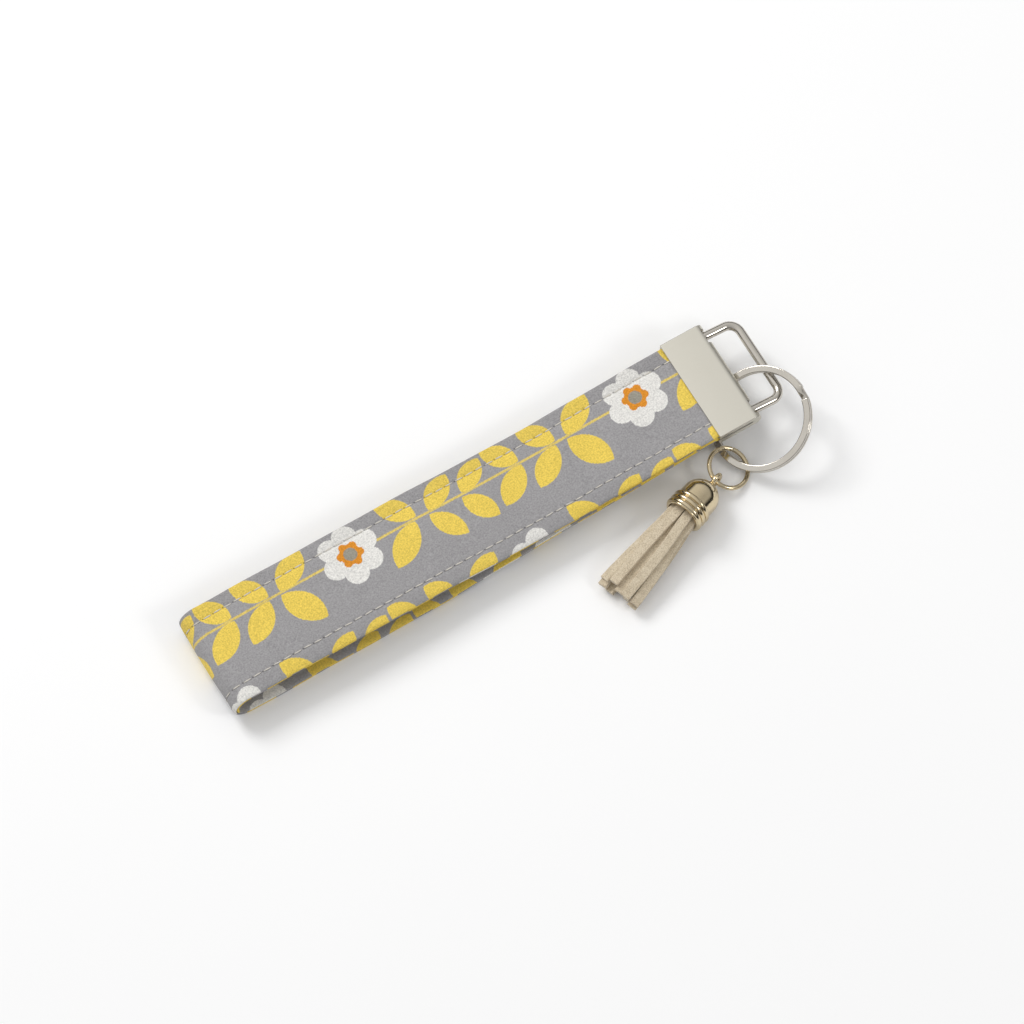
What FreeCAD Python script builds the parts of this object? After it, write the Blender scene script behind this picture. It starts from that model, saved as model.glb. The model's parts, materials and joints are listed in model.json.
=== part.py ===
import FreeCAD, Part
import math
import os

import Sketcher

# A wrist strap of folded printed cotton, crimped in a metal end clamp. A wire loop swings in the
# clamp's fold and carries a split ring, which carries a jump ring with a suede tassel.
#
# Frame: +X runs along the strap from its folded end to the clamp, +Y to the strap's closed edge,
# +Z up. The origin is the middle of the strap's flat underside, on the surface it lies on.

SIZES = [
    # alias, value, what it is
    ("mouth_x", "122", "clamp's mouth, from the origin"),
    ("strap_width", "31", "width of the folded strap"),
    ("strap_thick", "1.5", "thickness of the folded strap"),
    ("core_thick", "0.5", "thickness of the interfacing"),
    ("core_width", "29.6", "width of the interfacing"),
    ("edge_slit", "0.12", "gap between the turned-in edges"),
    ("ply_gap", "0.1", "gap between the two plies in the clamp"),
    ("strap_bite", "9", "length of strap inside the clamp"),
    ("loop_reach", "154.6", "clamp's mouth to the fold of the wrist loop"),
    ("ply_lead", "3", "clamp's mouth to the plies' first corner"),
    ("under_corner_x", "58", "clamp's mouth to the lower ply's middle corner"),
    ("under_corner_z", "4.6", "height of that corner"),
    ("landing_x", "97", "clamp's mouth to the corner where the lower ply lies down"),
    ("fold_top", "9.7", "height of the wrist loop's fold"),
    ("crest_x", "108", "clamp's mouth to the upper ply's corner beside the fold"),
    ("crest_z", "10.9", "height of that corner"),
    ("dip_x", "55", "clamp's mouth to the upper ply's middle corner"),
    ("dip_z", "9", "height of that corner"),
    ("stitch_inset", "4.6", "stitch row to the strap's edge"),
    ("thread_width", "0.5", "width of a stitch row"),
    ("thread_depth", "0.2", "depth of the groove that a stitch row lies in"),
    ("clamp_base", "8.25", "height of the clamp's underside"),
    ("clamp_width", "32.2", "outer width of the clamp"),
    ("clamp_length", "13.4", "mouth to the outside of the fold"),
    ("clamp_height", "4.2", "outer height of the crimped clamp"),
    ("clamp_wall", "0.5", "sheet thickness of the clamp"),
    ("flange_slit", "0.8", "gap between the upper and lower flanges"),
    ("flange_slit_end", "10.6", "mouth to the end of the flange gap"),
    ("slot_inner", "10.1", "middle of the clamp to a slot's inner end"),
    ("slot_outer", "14.5", "middle of the clamp to a slot's outer end"),
    ("slot_height", "3.7", "height of the slots for the wire loop"),
    ("slot_depth", "3.9", "depth of the slots from the outside of the fold"),
    ("tooth_count", "13", "teeth along each lip of the mouth"),
    ("tooth_pitch", "2.3", "distance between teeth"),
    ("tooth_height", "0.25", "how far a tooth bites into the cotton"),
    ("tooth_length", "0.9", "length of a tooth along the strap"),
    ("wire_thick", "2.6", "diameter of the loop's wire"),
    ("wire_length", "11.1", "hinge bar to far bar, between centres"),
    ("wire_half", "12.9", "middle of the loop to a side bar's centre"),
    ("wire_hinge_bend", "1.7", "bend radius beside the hinge bar"),
    ("wire_far_bend", "3.4", "bend radius beside the far bar"),
    ("wire_droop", "7", "degrees that the wire loop hangs below level"),
    ("key_ring_radius", "15", "outer radius of the split ring"),
    ("key_ring_band", "2", "radial width of the split ring"),
    ("key_ring_coil", "1.1", "height of one turn of the split ring"),
    ("key_ring_gap", "0.06", "gap between the two turns"),
    ("key_ring_step", "14", "degrees of the step from the lower turn to the upper"),
    ("key_ring_x", "13.6", "split ring's centre, from the mouth"),
    ("key_ring_y", "-15.4", "split ring's centre, across the strap"),
    ("key_ring_z", "7.65", "split ring's centre, above the surface"),
    ("key_ring_rise", "26", "degrees that the split ring rises along +X"),
    ("key_ring_lean", "0", "degrees that the split ring rises along +Y"),
    ("jump_radius", "5.85", "jump ring, to the wire's centre"),
    ("jump_wire", "1.3", "diameter of the jump ring's wire"),
    ("jump_gap", "4", "degrees of the butted gap"),
    ("jump_gap_at", "52", "direction of that gap, degrees from +X"),
    ("jump_x", "-0.6", "jump ring's centre, from the mouth"),
    ("jump_y", "-21.8", "jump ring's centre, across the strap"),
    ("jump_z", "3.1", "jump ring's centre, above the surface"),
    ("jump_rise", "-19", "degrees that the jump ring rises along +X"),
    ("jump_lean", "14", "degrees that the jump ring rises along +Y"),
    ("tassel_turn", "200", "direction of the tassel, degrees from +X"),
    ("tassel_pitch", "8", "degrees that the tassel's axis rises from its eye"),
    ("tassel_x", "-7.75", "top of the cap, from the mouth"),
    ("tassel_y", "-24.4", "top of the cap, across the strap"),
    ("tassel_z", "4.85", "top of the cap, above the surface"),
    ("cap_radius", "5.4", "radius of the cap's dome"),
    ("cap_length", "13.2", "length of the cap"),
    ("cap_bore", "4.75", "radius of the bore for the suede"),
    ("cap_bore_depth", "8.6", "depth of that bore"),
    ("ridge_radius", "0.75", "radius of a ridge's rounding"),
    ("ridge_reach", "5.95", "outer radius of the ridges"),
    ("ridge_start", "9", "top of the cap to the first ridge"),
    ("ridge_pitch", "1.6", "distance between ridges"),
    ("ridge_count", "3", "ridges round the cap"),
    ("glue_thick", "1.5", "thickness of the glue plug"),
    ("eye_wire", "1.4", "diameter of the eye's wire"),
    ("eye_radius", "1.75", "eye, to the wire's centre"),
    ("eye_height", "2", "top of the cap to the eye's centre"),
    ("eye_leg", "0.75", "middle of the eye to a leg's centre"),
    ("eye_leg_end", "5.6", "top of the cap to the legs' ends"),
    ("tail_width", "2.8", "width of a suede lace"),
    ("tail_thick", "1.3", "thickness of a suede lace"),
    ("tail_gap", "0.04", "gap between packed laces"),
    ("tail_length", "34", "length of a suede lace"),
    ("tail_drop", "7.3", "drop of the laces' middle from the cap's axis at their loose ends"),
    ("tail_spread", "1.85", "width of the loose end over the width of the packed end"),
]

LACES_IN_LAYERS = (2, 3, 3, 2)
SMALL = 1e-6


def make_sheet(doc):
    sheet = doc.addObject("Spreadsheet::Sheet", "sizes")
    for row, (alias, value, note) in enumerate(SIZES, start=1):
        sheet.set("A%d" % row, note)
        sheet.set("B%d" % row, value)
        sheet.setAlias("B%d" % row, alias)
    doc.recompute()
    return sheet


def read_sizes(sheet):
    return {alias: float(sheet.get(alias)) for alias, value, note in SIZES}


# ---------------------------------------------------------------- sketches and features

def new_body(doc, label):
    body = doc.addObject("PartDesign::Body", label)
    body.Label = label
    return body


def new_sketch(body, name, role, height=None):
    """A sketch on one of the body's own origin planes, raised by an expression if one is given."""
    sketch = body.newObject("Sketcher::SketchObject", name)
    plane = next(item for item in body.Origin.OriginFeatures if item.Role == role)
    sketch.AttachmentSupport = [(plane, "")]
    sketch.MapMode = "FlatFace"
    if height:
        sketch.setExpression("AttachmentOffset.Base.z", height)
    return sketch


def add_dimension(sketch, kind, places, value, name, expression):
    index = sketch.addConstraint(Sketcher.Constraint(kind, *places, value))
    sketch.renameConstraint(index, name)
    sketch.setExpression("Constraints." + name, expression)


def add_rectangle(sketch, name, low, high):
    """low and high are (x, y) pairs of (guess, expression)."""
    (x0, x0_rule), (y0, y0_rule) = low
    (x1, x1_rule), (y1, y1_rule) = high
    corners = [(x0, y0), (x1, y0), (x1, y1), (x0, y1)]
    first = sketch.GeometryCount
    for start, end in zip(corners, corners[1:] + corners[:1]):
        line = Part.LineSegment(FreeCAD.Vector(*start, 0), FreeCAD.Vector(*end, 0))
        sketch.addGeometry(line)
    for side in range(4):
        places = (first + side, 2, first + (side + 1) % 4, 1)
        sketch.addConstraint(Sketcher.Constraint("Coincident", *places))
        direction = "Horizontal" if side % 2 == 0 else "Vertical"
        sketch.addConstraint(Sketcher.Constraint(direction, first + side))
    add_dimension(sketch, "DistanceX", (-1, 1, first, 1), x0, name + "_left", x0_rule)
    add_dimension(sketch, "DistanceY", (-1, 1, first, 1), y0, name + "_low", y0_rule)
    add_dimension(sketch, "DistanceX", (-1, 1, first + 1, 2), x1, name + "_right", x1_rule)
    add_dimension(sketch, "DistanceY", (-1, 1, first + 1, 2), y1, name + "_high", y1_rule)


def add_round_end(sketch, name, start, end, height):
    """A strip along the sketch's x axis that ends in a half circle. Each is (guess, expression)."""
    radius = height[0] / 2
    middle = end[0] - radius
    top = Part.LineSegment(
        FreeCAD.Vector(start[0], radius, 0), FreeCAD.Vector(middle, radius, 0))
    bow = Part.ArcOfCircle(
        Part.Circle(FreeCAD.Vector(middle, 0, 0), FreeCAD.Vector(0, 0, 1), radius),
        -math.pi / 2, math.pi / 2)
    base = Part.LineSegment(
        FreeCAD.Vector(middle, -radius, 0), FreeCAD.Vector(start[0], -radius, 0))
    back = Part.LineSegment(
        FreeCAD.Vector(start[0], -radius, 0), FreeCAD.Vector(start[0], radius, 0))
    sketch.addGeometry([top, bow, base, back])
    sketch.addConstraint([
        Sketcher.Constraint("Tangent", 0, 2, 1, 2),
        Sketcher.Constraint("Tangent", 1, 1, 2, 1),
        Sketcher.Constraint("Coincident", 2, 2, 3, 1),
        Sketcher.Constraint("Coincident", 3, 2, 0, 1),
        Sketcher.Constraint("Horizontal", 0),
        Sketcher.Constraint("Vertical", 3),
        Sketcher.Constraint("PointOnObject", 1, 3, -1),
    ])
    add_dimension(sketch, "DistanceX", (-1, 1, 0, 1), start[0], name + "_start", start[1])
    rule = "%s - (%s) / 2" % (end[1], height[1])
    add_dimension(sketch, "DistanceX", (-1, 1, 1, 3), middle, name + "_middle", rule)
    add_dimension(sketch, "Radius", (1,), radius, name + "_radius", "(%s) / 2" % height[1])


def add_circle(sketch, name, across, up, radius):
    """Each of across, up and radius is (guess, expression)."""
    circle = Part.Circle(FreeCAD.Vector(across[0], up[0], 0), FreeCAD.Vector(0, 0, 1), radius[0])
    index = sketch.addGeometry(circle)
    add_dimension(sketch, "DistanceX", (-1, 1, index, 3), across[0], name + "_across", across[1])
    add_dimension(sketch, "DistanceY", (-1, 1, index, 3), up[0], name + "_up", up[1])
    add_dimension(sketch, "Radius", (index,), radius[0], name + "_radius", radius[1])


def add_feature(body, kind, name, sketch):
    feature = body.newObject("PartDesign::" + kind, name)
    feature.Profile = sketch
    return feature


def both_ways(feature, length_rule):
    feature.SideType = "Symmetric"
    feature.setExpression("Length", length_rule)


def place(item, position, turns=()):
    """turns are (axis, degrees) pairs, applied in order."""
    rotation = FreeCAD.Rotation()
    for axis, degrees in turns:
        rotation = FreeCAD.Rotation(FreeCAD.Vector(*axis), degrees).multiply(rotation)
    item.Placement = FreeCAD.Placement(FreeCAD.Vector(*position), rotation)


def solid_feature(doc, label, shape):
    feature = doc.addObject("Part::Feature", label)
    feature.Label = label
    feature.Shape = shape
    return feature


# ---------------------------------------------------------------- the strap

def strap_route(size):
    """The middle of the strap's thickness, from the lower ply's end in the clamp, back along the
    surface, round the wrist loop's fold and forward to the upper ply's end."""
    half = size["strap_thick"] / 2
    mouth = size["mouth_x"]
    middle = size["clamp_base"] + size["clamp_height"] / 2
    ply = half + size["ply_gap"] / 2
    fold = mouth - size["loop_reach"] + half
    inside = mouth + size["strap_bite"]
    lead = mouth - size["ply_lead"]
    return [
        FreeCAD.Vector(inside, 0, middle - ply),
        FreeCAD.Vector(lead, 0, middle - ply),
        FreeCAD.Vector(mouth - size["under_corner_x"], 0, size["under_corner_z"]),
        FreeCAD.Vector(mouth - size["landing_x"], 0, half),
        FreeCAD.Vector(fold, 0, half),
        FreeCAD.Vector(fold, 0, size["fold_top"]),
        FreeCAD.Vector(mouth - size["crest_x"], 0, size["crest_z"]),
        FreeCAD.Vector(mouth - size["dip_x"], 0, size["dip_z"]),
        FreeCAD.Vector(lead, 0, middle + ply),
        FreeCAD.Vector(inside, 0, middle + ply),
    ]


def side_of(direction):
    """The direction a quarter turn to the left of a direction in the XZ plane."""
    return FreeCAD.Vector(-direction.z, 0, direction.x)


def route_edges(route, offset):
    """Straight runs joined by tangent arcs, moved sideways by an offset."""
    edges = []
    start = route[0] + side_of((route[1] - route[0]).normalize()) * offset
    for before, corner, after in zip(route, route[1:], route[2:]):
        inward = (corner - before).normalize()
        outward = (after - corner).normalize()
        reach = min((corner - before).Length, (after - corner).Length) / 2
        turn = inward.getAngle(outward)
        radius = reach / math.tan(turn / 2)
        half_way = (outward - inward).normalize()
        centre = corner + half_way * math.hypot(radius, reach)
        bow = centre - half_way * radius
        enter = corner - inward * reach + side_of(inward) * offset
        middle = bow + side_of((inward + outward).normalize()) * offset
        leave = corner + outward * reach + side_of(outward) * offset
        if (enter - start).Length > SMALL:
            edges.append(Part.LineSegment(start, enter).toShape())
        edges.append(Part.Arc(enter, middle, leave).toShape())
        start = leave
    last = route[-1] + side_of((route[-1] - route[-2]).normalize()) * offset
    edges.append(Part.LineSegment(start, last).toShape())
    return edges


def band(route, low, high, left, right):
    """A solid that follows the route between two offsets, from y = left to y = right."""
    lower = route_edges(route, low)
    upper = route_edges(route, high)
    ends = [
        Part.LineSegment(lower[0].Vertexes[0].Point, upper[0].Vertexes[0].Point).toShape(),
        Part.LineSegment(lower[-1].Vertexes[-1].Point, upper[-1].Vertexes[-1].Point).toShape(),
    ]
    outline = Part.Wire(Part.__sortEdges__(lower + upper + ends))
    face = Part.Face(outline)
    face.translate(FreeCAD.Vector(0, left, 0))
    return face.extrude(FreeCAD.Vector(0, right - left, 0))


def make_strap(doc, size, clamp):
    route = strap_route(size)
    half = size["strap_thick"] / 2
    edge = size["strap_width"] / 2
    core = size["core_thick"] / 2
    core_edge = size["core_width"] / 2
    slit = size["edge_slit"] / 2
    depth = size["thread_depth"]
    thread_half = size["thread_width"] / 2
    row = edge - size["stitch_inset"]

    # The left of the route is the outside of the loop, where the needle thread shows.
    threads = {
        "needle": (half - depth, half),
        "bobbin": (-half, -half + depth),
    }
    fabric = band(route, -half, half, -edge, edge)
    fabric = fabric.cut(band(route, -core, core, -core_edge, core_edge))
    fabric = fabric.cut(band(route, -slit, slit, -edge, -core_edge))
    for side, middle in (("near", -row), ("far", row)):
        for kind, (low, high) in threads.items():
            thread = band(route, low, high, middle - thread_half, middle + thread_half)
            thread = thread.cut(clamp)
            fabric = fabric.cut(thread)
            solid_feature(doc, "%s_%s_thread" % (side, kind), thread)
    fabric = fabric.cut(clamp)
    solid_feature(doc, "strap_fabric", fabric)
    solid_feature(doc, "strap_core", band(route, -core, core, -core_edge, core_edge))


# ---------------------------------------------------------------- the clamp and its wire loop

def make_clamp(doc, size):
    """One sheet folded over the strap's end. Its own frame is at the mouth, half way up."""
    body = new_body(doc, "clamp_shell")
    wall = size["clamp_wall"]
    length = size["clamp_length"]
    height = size["clamp_height"]

    outline = new_sketch(body, "clamp_outline", "XZ_Plane")
    add_round_end(
        outline, "outline", (0, "0"), (length, "sizes.clamp_length"),
        (height, "sizes.clamp_height"))
    both_ways(add_feature(body, "Pad", "clamp_block", outline), "sizes.clamp_width")

    hollow = new_sketch(body, "clamp_hollow", "XZ_Plane")
    add_round_end(
        hollow, "hollow", (-1, "-1"), (length - wall, "sizes.clamp_length - sizes.clamp_wall"),
        (height - 2 * wall, "sizes.clamp_height - 2 * sizes.clamp_wall"))
    hollow_cut = add_feature(body, "Pocket", "clamp_inside", hollow)
    both_ways(hollow_cut, "sizes.clamp_width - 2 * sizes.clamp_wall")

    gap = size["flange_slit"] / 2
    slit = new_sketch(body, "flange_gap", "XZ_Plane")
    add_rectangle(
        slit, "gap", ((-1, "-1"), (-gap, "-sizes.flange_slit / 2")),
        ((size["flange_slit_end"], "sizes.flange_slit_end"), (gap, "sizes.flange_slit / 2")))
    both_ways(add_feature(body, "Pocket", "flange_slit", slit), "sizes.clamp_width + 2")

    slots = new_sketch(body, "wire_slots", "XY_Plane")
    inner = size["slot_inner"]
    outer = size["slot_outer"]
    back = (length - size["slot_depth"], "sizes.clamp_length - sizes.slot_depth")
    front = (length + 1, "sizes.clamp_length + 1")
    add_rectangle(
        slots, "far", (back, (inner, "sizes.slot_inner")), (front, (outer, "sizes.slot_outer")))
    add_rectangle(
        slots, "near", (back, (-outer, "-sizes.slot_outer")),
        (front, (-inner, "-sizes.slot_inner")))
    slot_cut = add_feature(body, "Pocket", "wire_slot_pair", slots)
    both_ways(slot_cut, "sizes.slot_height")
    doc.recompute()
    add_teeth(doc, body, size)
    middle = size["clamp_base"] + height / 2
    place(body, (size["mouth_x"], 0, middle))
    return body


def add_teeth(doc, body, size):
    """A row of teeth inside each lip of the mouth, which bite into the cotton."""
    roof = size["clamp_height"] / 2 - size["clamp_wall"]
    tooth = size["tooth_length"]
    roof_rule = "sizes.clamp_height / 2 - sizes.clamp_wall"
    first = "-(sizes.tooth_count - 1) * sizes.tooth_pitch / 2"
    start = -(size["tooth_count"] - 1) * size["tooth_pitch"] / 2
    half = tooth / 2
    for name, sign in (("upper", 1), ("lower", -1)):
        sketch = new_sketch(body, name + "_tooth", "XY_Plane", "%d * (%s)" % (sign, roof_rule))
        add_rectangle(
            sketch, "tooth", ((1, "1"), (start - half, first + " - sizes.tooth_length / 2")),
            ((1 + tooth, "1 + sizes.tooth_length"),
             (start + half, first + " + sizes.tooth_length / 2")))
        pad = add_feature(body, "Pad", name + "_tooth_pad", sketch)
        pad.setExpression("Length", "sizes.tooth_height")
        pad.Reversed = sign > 0
        doc.recompute()
        row = body.newObject("PartDesign::LinearPattern", name + "_teeth")
        row.Originals = [pad]
        row.Direction = (sketch, ["V_Axis"])
        row.setExpression("Length", "(sizes.tooth_count - 1) * sizes.tooth_pitch")
        row.Occurrences = int(size["tooth_count"])
        body.Tip = row
        doc.recompute()


def make_wire_loop(doc, size):
    """A closed rectangle of round wire. Its own frame is at the middle of the hinge bar."""
    body = new_body(doc, "wire_loop")
    reach = size["wire_length"]
    half = size["wire_half"]
    near = size["wire_hinge_bend"]
    far = size["wire_far_bend"]

    def line(x0, y0, x1, y1):
        return Part.LineSegment(FreeCAD.Vector(x0, y0, 0), FreeCAD.Vector(x1, y1, 0))

    def bend(x, y, radius, quarter):
        circle = Part.Circle(FreeCAD.Vector(x, y, 0), FreeCAD.Vector(0, 0, 1), radius)
        return Part.ArcOfCircle(circle, quarter * math.pi / 2, (quarter + 1) * math.pi / 2)

    path = new_sketch(body, "loop_path", "XY_Plane")
    path.addGeometry([
        line(0, 0, 0, half - near),
        bend(near, half - near, near, 1),
        line(near, half, reach - far, half),
        bend(reach - far, half - far, far, 0),
        line(reach, half - far, reach, far - half),
        bend(reach - far, far - half, far, 3),
        line(reach - far, -half, near, -half),
        bend(near, near - half, near, 2),
        line(0, near - half, 0, 0),
    ])
    tangents = [
        (0, 2, 1, 2), (1, 1, 2, 1), (2, 2, 3, 2), (3, 1, 4, 1), (4, 2, 5, 2), (5, 1, 6, 1),
        (6, 2, 7, 2), (7, 1, 8, 1),
    ]
    for places in tangents:
        path.addConstraint(Sketcher.Constraint("Tangent", *places))
    path.addConstraint([
        Sketcher.Constraint("Coincident", 0, 1, -1, 1),
        Sketcher.Constraint("Coincident", 8, 2, 0, 1),
        Sketcher.Constraint("Vertical", 0),
        Sketcher.Constraint("Horizontal", 2),
        Sketcher.Constraint("Vertical", 4),
        Sketcher.Constraint("Horizontal", 6),
        Sketcher.Constraint("Vertical", 8),
        Sketcher.Constraint("Equal", 1, 7),
        Sketcher.Constraint("Equal", 3, 5),
    ])
    add_dimension(path, "Radius", (1,), near, "hinge_bend", "sizes.wire_hinge_bend")
    add_dimension(path, "Radius", (3,), far, "far_bend", "sizes.wire_far_bend")
    add_dimension(path, "DistanceX", (-1, 1, 4, 1), reach, "reach", "sizes.wire_length")
    add_dimension(path, "DistanceY", (-1, 1, 2, 1), half, "far_side", "sizes.wire_half")
    add_dimension(path, "DistanceY", (6, 2, -1, 1), half, "near_side", "sizes.wire_half")

    section = new_sketch(body, "wire_section", "XZ_Plane")
    add_circle(section, "wire", (0, "0"), (0, "0"), (size["wire_thick"] / 2, "sizes.wire_thick / 2"))
    pipe = add_feature(body, "AdditivePipe", "bent_wire", section)
    pipe.Spine = (path, [])
    pivot = hinge_place(size)
    place(body, pivot, [((0, 1, 0), size["wire_droop"])])
    return body


def hinge_place(size):
    """The hinge bar's centre: it lies in the round of the clamp's fold."""
    inside = size["clamp_height"] / 2
    x = size["mouth_x"] + size["clamp_length"] - inside
    return (x, 0, size["clamp_base"] + inside)


# ---------------------------------------------------------------- the rings

def make_split_ring(doc, size):
    """Two flat turns, one on the other, joined by a sloping step. Its frame is at its centre."""
    body = new_body(doc, "split_ring")
    coil = size["key_ring_coil"]
    gap = size["key_ring_gap"]
    outer = size["key_ring_radius"]
    inner = outer - size["key_ring_band"]
    inner_rule = "sizes.key_ring_radius - sizes.key_ring_band"
    heights = {
        "lower": (-(coil + gap / 2), -gap / 2, "-(sizes.key_ring_coil + sizes.key_ring_gap / 2)",
                  "-sizes.key_ring_gap / 2"),
        "upper": (gap / 2, coil + gap / 2, "sizes.key_ring_gap / 2",
                  "sizes.key_ring_coil + sizes.key_ring_gap / 2"),
    }

    def section(name, level):
        low, high, low_rule, high_rule = heights[level]
        sketch = new_sketch(body, name, "XZ_Plane")
        add_rectangle(
            sketch, "wire", ((inner, inner_rule), (low, low_rule)),
            ((outer, "sizes.key_ring_radius"), (high, high_rule)))
        return sketch

    for level in heights:
        sketch = section(level + "_section", level)
        turn = add_feature(body, "Revolution", level + "_turn", sketch)
        turn.ReferenceAxis = (sketch, ["V_Axis"])
        turn.setExpression("Angle", "360 - sizes.key_ring_step")
        if level == "lower":
            step_start = section("step_start", "lower")
            step_start.setExpression("AttachmentOffset.Rotation.Angle", "-sizes.key_ring_step")
            step_start.AttachmentOffset = FreeCAD.Placement(
                FreeCAD.Vector(), FreeCAD.Rotation(FreeCAD.Vector(0, 1, 0), -size["key_ring_step"]))
            step = add_feature(body, "AdditiveLoft", "step", step_start)
            step.Sections = [section("step_end", "upper")]
            step.Ruled = True
        doc.recompute()
    place(body, ring_place(size, "key_ring"), ring_turns(size, "key_ring"))
    return body


def ring_place(size, name):
    return (size["mouth_x"] + size[name + "_x"], size[name + "_y"], size[name + "_z"])


def ring_turns(size, name):
    return [((1, 0, 0), size[name + "_lean"]), ((0, 1, 0), -size[name + "_rise"])]


def make_jump_ring(doc, size):
    """A round wire bent to a circle, with its ends butted. Its frame is at its centre."""
    body = new_body(doc, "jump_ring")
    section = new_sketch(body, "jump_section", "XZ_Plane")
    add_circle(
        section, "wire", (size["jump_radius"], "sizes.jump_radius"), (0, "0"),
        (size["jump_wire"] / 2, "sizes.jump_wire / 2"))
    ring = add_feature(body, "Revolution", "jump_turn", section)
    ring.ReferenceAxis = (section, ["V_Axis"])
    ring.setExpression("Angle", "360 - sizes.jump_gap")
    turns = [((0, 0, 1), size["jump_gap_at"])] + ring_turns(size, "jump")
    place(body, ring_place(size, "jump"), turns)
    return body


# ---------------------------------------------------------------- the tassel

# The tassel's own frame: the origin is the top of the cap, +X runs down the tassel.

def put_on_tassel(item, size):
    top = (size["mouth_x"] + size["tassel_x"], size["tassel_y"], size["tassel_z"])
    place(item, top, [((0, 1, 0), -size["tassel_pitch"]), ((0, 0, 1), size["tassel_turn"])])


def make_cap(doc, size):
    """A dome and a straight wall with rounded ridges, bored out for the suede."""
    body = new_body(doc, "tassel_cap")
    dome = size["cap_radius"]
    length = size["cap_length"]

    profile = new_sketch(body, "cap_profile", "XY_Plane")
    circle = Part.Circle(FreeCAD.Vector(dome, 0, 0), FreeCAD.Vector(0, 0, 1), dome)
    profile.addGeometry([
        Part.ArcOfCircle(circle, math.pi / 2, math.pi),
        Part.LineSegment(FreeCAD.Vector(dome, dome, 0), FreeCAD.Vector(length, dome, 0)),
        Part.LineSegment(FreeCAD.Vector(length, dome, 0), FreeCAD.Vector(length, 0, 0)),
        Part.LineSegment(FreeCAD.Vector(length, 0, 0), FreeCAD.Vector(0, 0, 0)),
    ])
    profile.addConstraint([
        Sketcher.Constraint("Tangent", 0, 1, 1, 1),
        Sketcher.Constraint("Coincident", 1, 2, 2, 1),
        Sketcher.Constraint("Coincident", 2, 2, 3, 1),
        Sketcher.Constraint("Coincident", 3, 2, 0, 2),
        Sketcher.Constraint("Coincident", 3, 2, -1, 1),
        Sketcher.Constraint("Horizontal", 1),
        Sketcher.Constraint("Vertical", 2),
        Sketcher.Constraint("Horizontal", 3),
        Sketcher.Constraint("PointOnObject", 0, 3, -1),
    ])
    add_dimension(profile, "Radius", (0,), dome, "dome", "sizes.cap_radius")
    add_dimension(profile, "DistanceX", (3, 2, 3, 1), length, "length", "sizes.cap_length")
    shell = add_feature(body, "Revolution", "cap_dome", profile)
    shell.ReferenceAxis = (profile, ["H_Axis"])

    ridge = new_sketch(body, "ridge_section", "XY_Plane")
    middle = size["ridge_reach"] - size["ridge_radius"]
    add_circle(
        ridge, "ridge", (size["ridge_start"], "sizes.ridge_start"),
        (middle, "sizes.ridge_reach - sizes.ridge_radius"),
        (size["ridge_radius"], "sizes.ridge_radius"))
    ring = add_feature(body, "Revolution", "ridge", ridge)
    ring.ReferenceAxis = (ridge, ["H_Axis"])
    doc.recompute()
    ridges = body.newObject("PartDesign::LinearPattern", "ridges")
    ridges.Originals = [ring]
    ridges.Direction = (ridge, ["H_Axis"])
    ridges.setExpression("Length", "(sizes.ridge_count - 1) * sizes.ridge_pitch")
    ridges.Occurrences = int(size["ridge_count"])
    body.Tip = ridges
    doc.recompute()

    bore = new_sketch(body, "cap_bore", "YZ_Plane", "sizes.cap_length")
    add_circle(bore, "bore", (0, "0"), (0, "0"), (size["cap_bore"], "sizes.cap_bore"))
    hole = add_feature(body, "Pocket", "suede_bore", bore)
    hole.setExpression("Length", "sizes.cap_bore_depth")
    doc.recompute()

    half = size["eye_wire"] / 2
    reach = size["eye_leg"] + half
    slot = new_sketch(body, "leg_slot", "YZ_Plane")
    add_rectangle(
        slot, "slot",
        ((-half, "-sizes.eye_wire / 2"), (-reach, "-sizes.eye_leg - sizes.eye_wire / 2")),
        ((half, "sizes.eye_wire / 2"), (reach, "sizes.eye_leg + sizes.eye_wire / 2")))
    both_ways(add_feature(body, "Pocket", "slot_for_legs", slot), "2 * sizes.cap_length")
    doc.recompute()
    put_on_tassel(body, size)
    return body


def make_eye(doc, size):
    """A closed eye of round wire with two legs that end in the cap's glue."""
    ring = doc.addObject("Part::Torus", "eye_ring")
    ring.setExpression("Radius1", "sizes.eye_radius")
    ring.setExpression("Radius2", "sizes.eye_wire / 2")
    ring.setExpression("Placement.Base.x", "-sizes.eye_height")
    ring.Placement = FreeCAD.Placement(
        FreeCAD.Vector(-size["eye_height"], 0, 0), FreeCAD.Rotation(FreeCAD.Vector(1, 0, 0), 90))
    pieces = [ring]
    reach = math.sqrt(size["eye_radius"] ** 2 - size["eye_leg"] ** 2)
    start = reach - size["eye_height"]
    for name, sign in (("upper", 1), ("lower", -1)):
        leg = doc.addObject("Part::Cylinder", "eye_%s_leg" % name)
        leg.setExpression("Radius", "sizes.eye_wire / 2")
        leg.Height = size["eye_leg_end"] - start
        leg.Placement = FreeCAD.Placement(
            FreeCAD.Vector(start, 0, sign * size["eye_leg"]),
            FreeCAD.Rotation(FreeCAD.Vector(0, 1, 0), 90))
        pieces.append(leg)
    eye = doc.addObject("Part::MultiFuse", "tassel_eye")
    eye.Label = "tassel_eye"
    eye.Shapes = pieces
    put_on_tassel(eye, size)
    return eye


def make_glue(doc, size, eye):
    """The plug of glue at the bottom of the cap's bore, round the legs of the eye."""
    start = size["cap_length"] - size["cap_bore_depth"]
    plug = Part.makeCylinder(
        size["cap_bore"], size["glue_thick"], FreeCAD.Vector(start, 0, 0), FreeCAD.Vector(1, 0, 0))
    legs = eye.Shape.copy()
    legs.Placement = FreeCAD.Placement()
    glue = solid_feature(doc, "cap_glue", plug.cut(legs))
    put_on_tassel(glue, size)


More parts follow.
